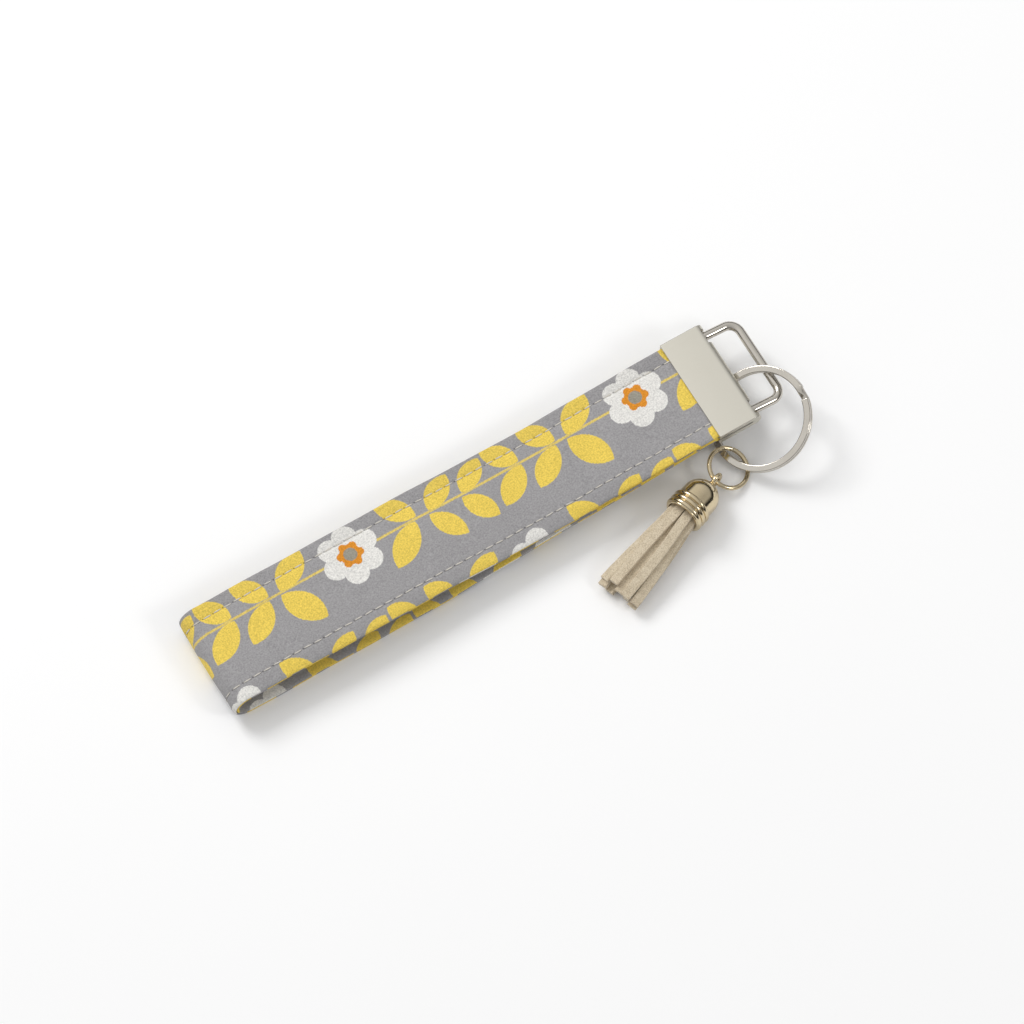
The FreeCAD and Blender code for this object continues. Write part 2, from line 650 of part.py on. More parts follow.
def tail_outline(size, x, across, up):
    """A lace's section at a distance along the tassel."""
    half_width = size["tail_width"] / 2
    half_thick = size["tail_thick"] / 2
    corners = [
        FreeCAD.Vector(x, across - half_width, up - half_thick),
        FreeCAD.Vector(x, across + half_width, up - half_thick),
        FreeCAD.Vector(x, across + half_width, up + half_thick),
        FreeCAD.Vector(x, across - half_width, up + half_thick),
    ]
    return Part.makePolygon(corners + corners[:1])


def make_tails(doc, size):
    """Layers of laces: packed in the cap, then fanned out and lying down to the surface."""
    start = size["cap_length"] - size["cap_bore_depth"] + size["glue_thick"]
    end = start + size["tail_length"]
    pitch = size["tail_width"] + size["tail_gap"]
    layer = size["tail_thick"] + size["tail_gap"]
    number = 0
    for level, count in enumerate(LACES_IN_LAYERS):
        up = (level - (len(LACES_IN_LAYERS) - 1) / 2) * layer
        for place_in_row in range(count):
            number += 1
            across = (place_in_row - (count - 1) / 2) * pitch
            sections = [
                tail_outline(size, start, across, up),
                tail_outline(size, size["cap_length"], across, up),
                tail_outline(size, end, across * size["tail_spread"], up - size["tail_drop"]),
            ]
            lace = Part.makeLoft(sections, True, True)
            tail = solid_feature(doc, "suede_tail_%02d" % number, lace)
            put_on_tassel(tail, size)


# ---------------------------------------------------------------- the whole

NODES = [
    "strap_fabric", "strap_core", "near_needle_thread", "far_needle_thread", "near_bobbin_thread",
    "far_bobbin_thread", "clamp_shell", "wire_loop", "split_ring", "jump_ring", "tassel_eye",
    "tassel_cap", "cap_glue",
] + ["suede_tail_%02d" % number for number in range(1, sum(LACES_IN_LAYERS) + 1)]


def check(doc):
    for item in doc.Objects:
        if "Invalid" in item.State or "Error" in item.State:
            raise RuntimeError("%s failed: %s" % (item.Label, item.State))
    for label in NODES:
        shape = doc.getObjectsByLabel(label)[0].Shape
        if shape.isNull() or not shape.isValid():
            raise RuntimeError("%s has no valid shape" % label)
        if len(shape.Solids) != 1:
            raise RuntimeError("%s has %d solids" % (label, len(shape.Solids)))


def main():
    doc = FreeCAD.newDocument("wristlet_keychain")
    size = read_sizes(make_sheet(doc))
    clamp = make_clamp(doc, size)
    doc.recompute()
    make_strap(doc, size, clamp.Shape)
    make_wire_loop(doc, size)
    make_split_ring(doc, size)
    make_jump_ring(doc, size)
    make_cap(doc, size)
    eye = make_eye(doc, size)
    doc.recompute()
    make_glue(doc, size, eye)
    make_tails(doc, size)
    doc.recompute()
    check(doc)
    os.makedirs("parts", exist_ok=True)
    for label in NODES:
        shape = doc.getObjectsByLabel(label)[0].Shape
        shape.exportStep("parts/%s.step" % label)
        box = shape.BoundBox
        print("%-20s %8.1f mm3  x %.2f..%.2f  y %.2f..%.2f  z %.2f..%.2f" % (
            label, shape.Volume, box.XMin, box.XMax, box.YMin, box.YMax, box.ZMin, box.ZMax))


main()
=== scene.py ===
import json
import math

import bmesh
import bpy
import numpy as np
from mathutils import Matrix, Vector, noise


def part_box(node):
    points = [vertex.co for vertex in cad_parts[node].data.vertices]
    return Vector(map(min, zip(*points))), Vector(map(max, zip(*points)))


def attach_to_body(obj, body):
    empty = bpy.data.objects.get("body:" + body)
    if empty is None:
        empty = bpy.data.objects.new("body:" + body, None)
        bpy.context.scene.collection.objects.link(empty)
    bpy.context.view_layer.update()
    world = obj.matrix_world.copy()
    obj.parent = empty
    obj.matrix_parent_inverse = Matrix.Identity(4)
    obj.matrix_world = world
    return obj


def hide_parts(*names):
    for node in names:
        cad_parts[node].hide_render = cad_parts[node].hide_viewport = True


# A wrist strap of printed cotton in a metal end clamp, with a wire loop, a split ring, a jump ring
# and a suede tassel, lying on a pale surface. Lengths are metres; a name that ends in _MM is not.

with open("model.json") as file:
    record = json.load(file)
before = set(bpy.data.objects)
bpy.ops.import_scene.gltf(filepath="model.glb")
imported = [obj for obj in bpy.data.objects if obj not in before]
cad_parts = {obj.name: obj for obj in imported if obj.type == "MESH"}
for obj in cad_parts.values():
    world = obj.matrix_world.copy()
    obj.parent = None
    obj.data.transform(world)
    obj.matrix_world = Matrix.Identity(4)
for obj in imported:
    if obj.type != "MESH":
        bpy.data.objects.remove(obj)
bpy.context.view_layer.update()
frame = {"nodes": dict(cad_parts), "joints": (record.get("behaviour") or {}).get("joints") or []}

MM = 0.001

# ---------------------------------------------------------------- sizes

CLAMP_LOW, CLAMP_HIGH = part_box("clamp_shell")
STRAP_LOW, STRAP_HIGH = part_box("strap_fabric")
MOUTH = CLAMP_LOW.x
CLAMP_MIDDLE = (CLAMP_LOW.z + CLAMP_HIGH.z) / 2
STRAP_EDGE = (STRAP_HIGH.y - STRAP_LOW.y) / 2
PLY_HALF = 0.75 * MM
COTTON_THICK = 0.24 * MM
CORE_THICK = 0.4 * MM
CORE_EDGE = 14.6 * MM
STRAP_BITE = 9 * MM
PLY_OFFSET = 0.8 * MM
PLY_LEAD = 3 * MM
LOWER_BEND = (58 * MM, 4.6 * MM)
LANDING = 97 * MM
FOLD_TOP = 9.7 * MM
CREST = (108 * MM, 10.9 * MM)
DIP = (55 * MM, 9.0 * MM)
OPEN_EDGE = STRAP_EDGE - 0.32 * MM
CLOTH_LEVEL = PLY_HALF - COTTON_THICK / 2

STITCH_PITCH = 3.2 * MM
STITCH_INSET = 4.6 * MM
STITCH_ROW = STRAP_EDGE - STITCH_INSET
STITCH_LENGTH = 2.6 * MM
STITCH_WIDTH = 0.42 * MM
STITCH_HEIGHT = 0.3 * MM
RING_STEP = STITCH_PITCH / 4
CURL_DEPTH = 1.0 * MM
TURN_IN = 8.6 * MM
TURN_IN_DROP = 0.25 * MM
CROWN_HEIGHT = 0.22 * MM
EDGE_BULGE = 0.07 * MM
VALLEY_DEPTH = 0.2 * MM
VALLEY_WIDTH = 0.6 * MM

LOOP_PIVOT = Vector(next(j["pos_m"] for j in frame["joints"] if j["name"] == "loop_swing"))
LOOP_DROOP = 7
LOOP_REACH = 11.1 * MM
LOOP_HALF = 12.9 * MM
LOOP_WIRE = 1.3 * MM
LOOP_HINGE_BEND = 1.7 * MM
LOOP_FAR_BEND = 3.4 * MM

JUMP_CENTRE = Vector((-0.6 * MM, -21.8 * MM, 3.1 * MM)) + Vector((MOUTH, 0, 0))
JUMP_RADIUS = 5.85 * MM
JUMP_WIRE = 0.65 * MM
JUMP_GAP = 4
JUMP_TURNS = (("Z", 52), ("X", 14), ("Y", 19))

TASSEL_TOP = Vector((-7.75 * MM, -24.4 * MM, 4.85 * MM)) + Vector((MOUTH, 0, 0))
TASSEL_TURNS = (("Y", -8), ("Z", 200))
CAP_RADIUS = 5.4 * MM
CAP_LENGTH = 13.2 * MM
CAP_BORE = 4.75 * MM
CAP_BORE_DEPTH = 8.6 * MM
RIDGE_RADIUS = 0.75 * MM
RIDGE_REACH = 5.95 * MM
RIDGE_START = 9 * MM
RIDGE_PITCH = 1.6 * MM
RIDGE_COUNT = 3
EYE_WIRE = 0.7 * MM
EYE_RADIUS = 1.75 * MM
EYE_HEIGHT = 2 * MM

LACE_WIDTH = 2.8 * MM
LACE_THICK = 1.3 * MM
LACE_LENGTH = 34 * MM
LACE_GAP = 0.04 * MM
LACE_START = 6.1 * MM
LACE_DROP = 7.3 * MM
LACE_SPREAD = 1.85
LACES_IN_LAYERS = (2, 3, 3, 2)
NAP_SEED = 5


# ---------------------------------------------------------------- shader maths

class Term:
    """A socket of a material's node tree. Arithmetic on it adds Math nodes."""

    def __init__(self, paint, socket):
        self.paint = paint
        self.socket = socket

    def math(self, operation, *others):
        return self.paint.calculate(operation, self, *others)

    def __add__(self, other):
        return self.math("ADD", other)

    def __sub__(self, other):
        return self.math("SUBTRACT", other)

    def __mul__(self, other):
        return self.math("MULTIPLY", other)

    def __truediv__(self, other):
        return self.math("DIVIDE", other)

    def __rsub__(self, other):
        return self.paint.calculate("SUBTRACT", other, self)

    def __abs__(self):
        return self.math("ABSOLUTE")

    __radd__ = __add__
    __rmul__ = __mul__


class Paint:
    """A material that is made of nodes."""

    def __init__(self, name):
        self.material = bpy.data.materials.new(name)
        self.material.use_nodes = True
        self.tree = self.material.node_tree
        self.shader = self.tree.nodes["Principled BSDF"]

    def node(self, kind, settings=None, inputs=None, output=0):
        made = self.tree.nodes.new(kind)
        for key, value in (settings or {}).items():
            if key == "stops":
                set_stops(made.color_ramp, value)
            else:
                setattr(made, key, value)
        for key, value in (inputs or {}).items():
            self.put(made.inputs[key], value)
        return Term(self, made.outputs[output])

    def put(self, socket, value):
        if isinstance(value, Term):
            self.tree.links.new(value.socket, socket)
        else:
            socket.default_value = value

    def calculate(self, operation, *values):
        return self.node("ShaderNodeMath", {"operation": operation}, dict(enumerate(values)))

    def mix(self, share, first, second):
        """A colour between two colours."""
        inputs = {"Factor": share, 6: first, 7: second}
        return self.node("ShaderNodeMix", {"data_type": "RGBA"}, inputs, 2)

    def place(self, output="Object"):
        return self.node("ShaderNodeTexCoord", output=output)

    def noise(self, scale, detail=2.0, vector=None):
        inputs = {"Scale": scale, "Detail": detail}
        inputs["Vector"] = vector or self.place()
        return self.node("ShaderNodeTexNoise", {}, inputs)

    def bump(self, height, distance, strength=1.0):
        inputs = {"Height": height, "Distance": distance, "Strength": strength}
        return self.node("ShaderNodeBump", {}, inputs)

    def finish(self, **sockets):
        for name, value in sockets.items():
            self.put(self.shader.inputs[name.replace("_", " ")], value)
        return self.material


def set_stops(ramp, stops):
    while len(ramp.elements) < len(stops):
        ramp.elements.new(1.0)
    for element, (position, colour) in zip(ramp.elements, stops):
        element.position = position
        element.color = colour


def rgb(red, green, blue):
    """A screen colour of 0 to 255 as the linear colour that a shader takes."""
    def linear(value):
        share = value / 255
        return share / 12.92 if share <= 0.04045 else ((share + 0.055) / 1.055) ** 2.4
    return (linear(red), linear(green), linear(blue), 1.0)


# ---------------------------------------------------------------- the printed cotton's pattern

REPEAT_MM = 91.3
ROW_MM = 27.6
HALF_DROP_MM = REPEAT_MM / 2
STEM_MM = 6.5
FLOWER_MM = 17.0
STEM_HALF_MM = 0.36
INNER_SHIFT_MM = 76.6
# Painted shade: how much darker the outer ply is coloured beyond the far stitch row, where the
# band slopes away from the light.
FAR_BAND_PAINTED_SHADE = 0.13
PRINT_EDGE_MM = 0.16
WEAVE_MM = 0.42

NEAR_BACK = (-0.75, -0.66)
NEAR_AHEAD = (0.56, -0.83)
FAR_BACK = (-0.68, 0.73)
FAR_AHEAD = (0.80, 0.60)

# Leaves: distance from the flower along the stem, direction, length, width.
NEAR_LEAVES = [
    (21.0, NEAR_BACK, 14.8, 7.4),
    (24.2, NEAR_AHEAD, 12.2, 6.2),
    (34.6, NEAR_AHEAD, 11.8, 6.4),
    (54.9, NEAR_BACK, 13.2, 6.9),
    (66.0, NEAR_BACK, 13.4, 7.0),
    (68.4, NEAR_AHEAD, 14.4, 8.0),
]
FAR_LEAVES = [
    (21.9, FAR_BACK, 12.6, 6.8),
    (24.4, FAR_AHEAD, 12.2, 6.6),
    (35.0, FAR_AHEAD, 11.6, 6.4),
    (54.6, FAR_BACK, 11.4, 6.8),
    (66.4, FAR_BACK, 11.6, 6.8),
    (68.6, FAR_AHEAD, 13.4, 7.4),
]
LEAF_STALK_MM = 0.9


def length_of(first, second):
    return (first * first + second * second).math("SQRT")


def smallest(values):
    least = values[0]
    for value in values[1:]:
        least = least.math("MINIMUM", value)
    return least


def inside(distance):
    """1 inside a shape and 0 outside, from the distance to its edge in millimetres."""
    return (0.5 - distance / PRINT_EDGE_MM).math("MINIMUM", 1.0).math("MAXIMUM", 0.0)


def leaf_edge(along, across, leaf):
    """The distance to a pointed oval whose two sides are arcs."""
    start, (cosine, sine), length, width = leaf
    middle = length / 2 + LEAF_STALK_MM
    from_middle = along - (start + middle * cosine)
    off_middle = across - middle * sine
    lengthwise = from_middle * cosine + off_middle * sine
    sideways = abs(off_middle * cosine - from_middle * sine)
    bow = (length ** 2 + width ** 2) / (4 * width)
    return length_of(lengthwise, sideways + (bow - width / 2)) - bow


def lobed_edge(distance, angle, turn, reach, lobe, core):
    """The distance to a round shape with six lobes."""
    sixth = math.radians(60)
    fold = (angle - math.radians(turn)).math("PINGPONG", sixth / 2)
    ahead = distance * fold.math("COSINE") - reach
    aside = distance * fold.math("SINE")
    return (length_of(ahead, aside) - lobe).math("MINIMUM", distance - core)


def repeat_place(along, across, low, start):
    """The place within one repeat, for shapes that reach from low across the stem."""
    from_stem = across - STEM_MM
    row = ((from_stem - low) / ROW_MM).math("FLOOR")
    shifted = along - FLOWER_MM - row * HALF_DROP_MM
    return shifted.math("WRAP", start + REPEAT_MM, start), from_stem - row * ROW_MM


def print_colour(paint, along, across):
    """The colour of leaves, stems and flowers on a grey ground."""
    leaves = []
    for low, group in ((-20.0, NEAR_LEAVES), (-6.0, FAR_LEAVES)):
        along_leaf, across_leaf = repeat_place(along, across, low, 0.0)
        leaves += [leaf_edge(along_leaf, across_leaf, leaf) for leaf in group]
    along_flower, across_flower = repeat_place(along, across, -ROW_MM / 2, -HALF_DROP_MM)
    stem = abs(across_flower) - STEM_HALF_MM
    distance = length_of(along_flower, across_flower)
    angle = across_flower.math("ARCTAN2", along_flower)
    petals = lobed_edge(distance, angle, 19, 5.7, 3.45, 5.6)
    ring = lobed_edge(distance, angle, -10, 2.75, 1.2, 3.1)

    ground = rgb(163, 161, 162)
    leaf_yellow = rgb(241, 211, 96)
    colour = paint.mix(inside(stem) * 0.8, ground, leaf_yellow)
    colour = paint.mix(inside(smallest(leaves)), colour, leaf_yellow)
    colour = paint.mix(inside(petals), colour, rgb(236, 234, 229))
    colour = paint.mix(inside(ring), colour, rgb(228, 148, 48))
    return paint.mix(inside(distance - 1.95), colour, rgb(160, 155, 142))


def needle_holes(along, across, ply_mm):
    """1 in the small holes between stitches, on both faces of the strap."""
    pitch = STITCH_PITCH / MM
    row = STITCH_ROW / MM
    aside = abs(abs(across) - row)
    inner = abs(abs(across - ply_mm) - row)
    between = (along / pitch).math("FRACT")
    lengthwise = abs(between - 0.5) * pitch
    nearest = aside.math("MINIMUM", inner)
    return (1.25 - length_of(nearest, lengthwise) / 0.27).math("MINIMUM", 1.0).math("MAXIMUM", 0.0)


def make_cotton(length, low, high):
    """Printed plain-weave cotton. The map's first axis runs along the strap, the second across.
    The inner ply's print is turned end for end. Beyond the far stitch row the outer ply is painted
    darker: painted shade, as on a band that slopes away from the light."""
    paint = Paint("printed_cotton")
    chart = paint.place("UV")
    split = paint.node("ShaderNodeSeparateXYZ", {}, {0: chart})
    along = split * (length / MM) + ((MOUTH + STRAP_BITE - length) / MM)
    across = Term(paint, split.socket.node.outputs[1]) * ((high - low) / MM) + low / MM
    ply_mm = (low + high) / MM
    inner = across.math("GREATER_THAN", ply_mm / 2)
    way = 1 - inner * 2
    fuzz = (paint.noise(2600, 2.0) - 0.5) * 0.5
    colour = print_colour(
        paint, along * way - inner * INNER_SHIFT_MM + fuzz, across * way + inner * ply_mm + fuzz)

    turn = 2 * math.pi / WEAVE_MM
    warp = (along * turn).math("SINE")
    weft = (across * turn).math("SINE")
    weave = warp * weft
    yarn = paint.noise(2300, 3.0)
    # Painted shade on the outer ply beyond the far stitch row.
    far_band_painted_shade = across.math("GREATER_THAN", STITCH_ROW / MM) * (1 - inner) * FAR_BAND_PAINTED_SHADE
    shade = 1 - far_band_painted_shade + weave * 0.08 + (yarn - 0.5) * 0.95 + (paint.noise(90, 3.0) - 0.5) * 0.14
    toned = paint.node(
        "ShaderNodeVectorMath", {"operation": "SCALE"}, {0: colour, "Scale": shade})
    holes = needle_holes(along, across, ply_mm)
    # Painted shade: the needle holes are coloured dark, as shade inside the holes.
    hole_painted_shade = paint.mix(holes * 0.6, toned, rgb(58, 54, 50))
    height = weave * 0.5 + yarn * 1.2 - holes * 2.0
    return paint.finish(
        Base_Color=hole_painted_shade, Roughness=0.92, Normal=paint.bump(height, 0.1 * MM, 0.9),
        Sheen_Weight=0.1, Sheen_Roughness=0.5, Specular_IOR_Level=0.2)


# ---------------------------------------------------------------- the other materials

def make_interfacing():
    paint = Paint("interfacing")
    fibres = paint.noise(2400, 4.0)
    colour = paint.mix(fibres, rgb(226, 224, 218), rgb(246, 245, 240))
    return paint.finish(Base_Color=colour, Roughness=0.95, Normal=paint.bump(fibres, 0.05 * MM))


def make_thread():
    paint = Paint("thread")
    ply = paint.noise(6000, 2.0)
    colour = paint.mix(ply, rgb(168, 162, 150), rgb(240, 236, 226))
    return paint.finish(
        Base_Color=colour, Roughness=0.6, Normal=paint.bump(ply, 0.05 * MM), Sheen_Weight=0.2)


def make_metal(name, colour, dark, roughness, grain, depth_mm):
    """A plated metal with a faint grain and a slight change of polish over its surface."""
    paint = Paint(name)
    cloud = paint.noise(140, 3.0)
    fine = paint.noise(grain, 2.0)
    tone = paint.mix(cloud * 0.5 + fine * 0.3, colour, dark)
    polish = cloud * 0.06 + fine * 0.05 + roughness
    return paint.finish(
        Base_Color=tone, Metallic=1.0, Roughness=polish,
        Normal=paint.bump(fine, depth_mm * MM, 0.4))


def make_suede():
    paint = Paint("suede")
    nap = paint.noise(3200, 4.0)
    cloud = paint.noise(420, 3.0)
    shade = nap * 0.85 + cloud * 0.25
    ramp = paint.node("ShaderNodeValToRGB", {"stops": [
        (0.25, rgb(150, 134, 110)), (0.55, rgb(205, 190, 164)), (0.85, rgb(233, 222, 200)),
    ]}, {"Fac": shade})
    return paint.finish(
        Base_Color=ramp, Roughness=0.96, Normal=paint.bump(nap, 0.16 * MM, 0.8),
        Sheen_Weight=0.3, Sheen_Roughness=0.6, Specular_IOR_Level=0.15)


def make_glue():
    paint = Paint("glue")
    cloud = paint.noise(500, 2.0)
    colour = paint.mix(cloud, rgb(214, 205, 180), rgb(232, 226, 208))
    return paint.finish(Base_Color=colour, Roughness=cloud * 0.2 + 0.35)


def make_floor_paint():
    paint = Paint("pale_floor")
    colour = paint.mix(paint.noise(8, 2.0), rgb(250, 250, 250), rgb(252, 252, 252))
    return paint.finish(Base_Color=colour, Roughness=0.85, Specular_IOR_Level=0.1)


# ---------------------------------------------------------------- meshes

def new_piece(name, mesh, material):
    piece = bpy.data.objects.new(name, mesh)
    bpy.context.scene.collection.objects.link(piece)
    mesh.materials.clear()
    mesh.materials.append(material)
    return piece


def mesh_of(name, points, faces, sharp_degrees=40):
    mesh = bpy.data.meshes.new(name)
    mesh.from_pydata([tuple(point) for point in points], [], faces)
    mesh.update()
    smooth_over(mesh, sharp_degrees)
    return mesh


def smooth_over(mesh, sharp_degrees):
    """Smooth shading, but for edges that turn by more than an angle."""
    mesh.polygons.foreach_set("use_smooth", [True] * len(mesh.polygons))
    mesh.set_sharp_from_angle(angle=math.radians(sharp_degrees))


def skin(rings, closed_along, closed_round, capped=False):
    """Faces that join rings of points. Rings follow each other along, points go round."""
    count = len(rings)
    size = len(rings[0])
    faces = []
    for i in range(count if closed_along else count - 1):
        for j in range(size if closed_round else size - 1):
            a = i * size + j
            b = i * size + (j + 1) % size
            c = (i + 1) % count * size + (j + 1) % size
            d = (i + 1) % count * size + j
            faces.append((a, b, c, d))
    if capped:
        faces.append(tuple(reversed(range(size))))
        faces.append(tuple((count - 1) * size + j for j in range(size)))
    return faces


def turned(position, turns=()):
    """A place: the turns are (axis, degrees) pairs, in order, and then the position."""
    matrix = Matrix.Identity(4)
    for axis, degrees in turns:
        matrix = Matrix.Rotation(math.radians(degrees), 4, axis) @ matrix
    return Matrix.Translation(position) @ matrix


def arc(centre, radius, start, end, steps):
    """Points on an arc in the XY plane, from one angle to another in degrees."""
    angles = np.radians(np.linspace(start, end, steps + 1))
    return [(centre[0] + radius * math.cos(a), centre[1] + radius * math.sin(a)) for a in angles]


def wire_rings(line, radius, closed, sides=28):
    """Circles round each point of a line in the XY plane."""
    points = np.array([(x, y, 0.0) for x, y in line])
    if closed:
        runs = np.roll(points, -1, 0) - np.roll(points, 1, 0)
    else:
        runs = np.gradient(points, axis=0)
    runs /= np.linalg.norm(runs, axis=1)[:, None]
    up = np.array((0.0, 0.0, 1.0))
    rings = []
    for point, run in zip(points, runs):
        side = np.cross(up, run)
        angles = np.arange(sides) * 2 * math.pi / sides
        rings.append([point + radius * (math.cos(a) * side + math.sin(a) * up) for a in angles])
    return rings


def face_outwards(mesh):
    shape = bmesh.new()
    shape.from_mesh(mesh)
    bmesh.ops.recalc_face_normals(shape, faces=shape.faces)
    shape.to_mesh(mesh)
    shape.free()


def make_wire(name, line, radius, closed, place, material):
    rings = wire_rings(line, radius, closed)
    points = [point for ring in rings for point in ring]
    mesh = mesh_of(name, points, skin(rings, closed, True, capped=not closed))
    mesh.transform(place)
    face_outwards(mesh)
    return new_piece(name, mesh, material)


def softened(name, node, material, width, segments=3, edge_material=None):
    """A copy of a node's shape with its sharp edges rounded."""
    mesh = frame["nodes"][node].data.copy()
    mesh.name = name
    shape = bmesh.new()
    shape.from_mesh(mesh)
    bmesh.ops.remove_doubles(shape, verts=shape.verts, dist=0.002 * MM)
    bmesh.ops.dissolve_limit(
        shape, angle_limit=math.radians(0.6), verts=shape.verts, edges=shape.edges)
    shape.to_mesh(mesh)
    shape.free()
    piece = new_piece(name, mesh, material)
    if "custom_normal" in mesh.attributes:
        mesh.attributes.remove(mesh.attributes["custom_normal"])
    smooth_over(mesh, 35)
    bevel = piece.modifiers.new("rounded_edges", "BEVEL")
    bevel.width = width
    bevel.segments = segments
    bevel.limit_method = "ANGLE"
    bevel.angle_limit = math.radians(40)
    bevel.harden_normals = True
    if edge_material:
        mesh.materials.append(edge_material)
        bevel.material = 1
    return piece


# ---------------------------------------------------------------- the strap's route

def strap_corners():
    """The corners of the middle of the strap's thickness, (x, z), from the lower ply's end in the
    clamp, back along the surface, round the fold and forward to the upper ply's end."""
    inner_end = MOUTH + STRAP_BITE
    lip = MOUTH - PLY_LEAD
    fold = STRAP_LOW.x + PLY_HALF
    return [
        (inner_end, CLAMP_MIDDLE - PLY_OFFSET),
        (lip, CLAMP_MIDDLE - PLY_OFFSET),
        (MOUTH - LOWER_BEND[0], LOWER_BEND[1]),
        (MOUTH - LANDING, PLY_HALF),
        (fold, PLY_HALF),
        (fold, FOLD_TOP),
        (MOUTH - CREST[0], CREST[1]),
        (MOUTH - DIP[0], DIP[1]),
        (lip, CLAMP_MIDDLE + PLY_OFFSET),
        (inner_end, CLAMP_MIDDLE + PLY_OFFSET),
    ]


class Route:
    """Straight runs joined by arcs, as a heading that changes evenly along each arc."""

    def __init__(self, corners):
        corners = np.array(corners)
        runs = np.diff(corners, axis=0)
        lengths = np.linalg.norm(runs, axis=1)
        headings = np.unwrap(np.arctan2(runs[:, 1], runs[:, 0]))
        knots = [0.0]
        turns = [headings[0]]
        used = 0.0
        for i in range(1, len(runs)):
            reach = min(lengths[i - 1], lengths[i]) / 2
            bend = headings[i] - headings[i - 1]
            bow = reach / math.tan(abs(bend) / 2) * abs(bend)
            knots.append(knots[-1] + lengths[i - 1] - used - reach)
            knots.append(knots[-1] + bow)
            turns += [headings[i - 1], headings[i]]
            used = reach
        self.length = knots[-1] + lengths[-1] - used
        self.knots = knots + [self.length]
        self.turns = turns + [headings[-1]]
        self.fine = np.linspace(0, self.length, 20001)
        heading = self.heading(self.fine)
        steps = np.diff(self.fine)
        self.line = []
        for start, rule in zip(corners[0], (np.cos, np.sin)):
            slope = rule(heading)
            moves = (slope[1:] + slope[:-1]) / 2 * steps
            self.line.append(start + np.concatenate([[0], np.cumsum(moves)]))

    def heading(self, distance):
        return np.interp(distance, self.knots, self.turns)

    def middle(self, distance):
        return [np.interp(distance, self.fine, line) for line in self.line]

    def at(self, distance, across, offset):
        """A point of the strap: the offset is towards the outside of the wrist loop."""
        x, z = self.middle(distance)
        heading = self.heading(distance)
        return np.stack([x - np.sin(heading) * offset, across, z + np.cos(heading) * offset], -1)


def smooth(value):
    share = np.clip(value, 0, 1)
    return share * share * (3 - 2 * share)


def relief(route, distance, across, outward):
    """How far the cloth stands proud of the flat strap: a crown between the stitch rows, and a
    valley along each row that is deepest at the needle holes."""
    row = STITCH_ROW
    crown = CROWN_HEIGHT * np.clip(1 - (across / row) ** 2, 0, 1)
    edge_bulge = EDGE_BULGE * np.sin(
        math.pi * np.clip((np.abs(across) - row) / (STRAP_EDGE - row), 0, 1))
    phase = 2 * math.pi * (distance - route.length) / STITCH_PITCH
    pull = 0.75 - 0.25 * np.cos(phase)
    valley = -VALLEY_DEPTH * np.exp(-(((np.abs(across) - row) / VALLEY_WIDTH) ** 2)) * pull
    from_clamp = np.minimum(distance, route.length - distance) - STRAP_BITE
    free = smooth(from_clamp / (6 * MM))
    height = route.middle(distance)[1]
    lifted = smooth((height - PLY_HALF) / (2 * MM)) if outward else 1.0
    return (crown + edge_bulge) * free * lifted + valley * (0.4 + 0.6 * free)


def curl(route, distance, across):
    """How far the upper run droops beyond its stitch rows, fading out towards the clamp."""
    beyond = np.clip((np.abs(across) - STITCH_ROW) / (STRAP_EDGE - STITCH_ROW), 0, 1)
    upper = smooth((distance - route.length / 2) / (16 * MM))
    free = smooth((route.length - STRAP_BITE - distance) / (30 * MM))
    return CURL_DEPTH * beyond * upper * free


def ply_places():
    """Places across a ply, close together at the stitch rows and further apart between."""
    row = STITCH_ROW
    zone = 1.1 * MM
    return np.concatenate([
        np.linspace(-OPEN_EDGE, -row - zone, 7)[:-1],
        np.linspace(-row - zone, -row + zone, 8),
        np.linspace(-row + zone, row - zone, 19)[1:-1],
        np.linspace(row - zone, row + zone, 8),
        np.linspace(row + zone, STRAP_EDGE - PLY_HALF, 7)[1:],
    ])


def strap_section():
    """The cloth's middle across the strap: (place across, offset), from the end of the outer ply's
    turned-in edge, over the outer ply, round the closed edge and back under the inner ply."""
    top = CLOTH_LEVEL
    under = top - TURN_IN_DROP
    fold = TURN_IN_DROP / 2
    outer = [(-OPEN_EDGE + reach, under) for reach in np.linspace(TURN_IN, 0.6 * MM, 6)]
    for angle in np.radians(np.linspace(270, 90, 7)):
        across = -OPEN_EDGE + fold * math.cos(angle) - 0.03 * MM
        outer.append((across, top - fold + fold * math.sin(angle)))
    outer += [(across, top) for across in ply_places()[1:]]
    last = outer[-1][0]
    angles = np.radians(np.linspace(90, -90, 11))[1:-1]
    closed = [(last + top * math.cos(a), top * math.sin(a)) for a in angles]
    inner = [(across, -offset) for across, offset in reversed(outer)]
    return np.array(outer + closed + inner)


def section_lengths(section):
    """The distance along the cloth, from the middle of the outer ply."""
    steps = np.linalg.norm(np.diff(section, axis=0), axis=1)
    total = np.concatenate([[0], np.cumsum(steps)])
    on_outer = section[:, 1] > PLY_HALF - COTTON_THICK
    start = np.interp(0.0, section[on_outer, 0], total[on_outer])
    return total - start


def shaped_offset(route, distance, across, offset):
    """The offset of a point of the cloth, with its relief, its rolled closed edge and its pinched
    open edge."""
    outward = offset > 0
    side = np.sign(offset)
    raised = relief(route, distance, across, outward)
    roll = 1 - 0.3 * smooth((across - STITCH_ROW) / (STRAP_EDGE - STITCH_ROW))
    pinch = 0.17 * MM * smooth((-across - STRAP_EDGE + 1.0 * MM) / (0.9 * MM))
    middle = np.abs(offset) < PLY_HALF - 1.6 * COTTON_THICK
    share = abs(offset) / CLOTH_LEVEL if middle else 1.0
    return offset * roll + side * (raised - pinch) * share - curl(route, distance, across)


def edge_drift(distance):
    """The slow sideways wander of a hand-turned edge."""
    wave = 0.10 * np.sin(distance / MM / 9.3 + 0.7) + 0.06 * np.sin(distance / MM / 4.1)
    return wave * MM


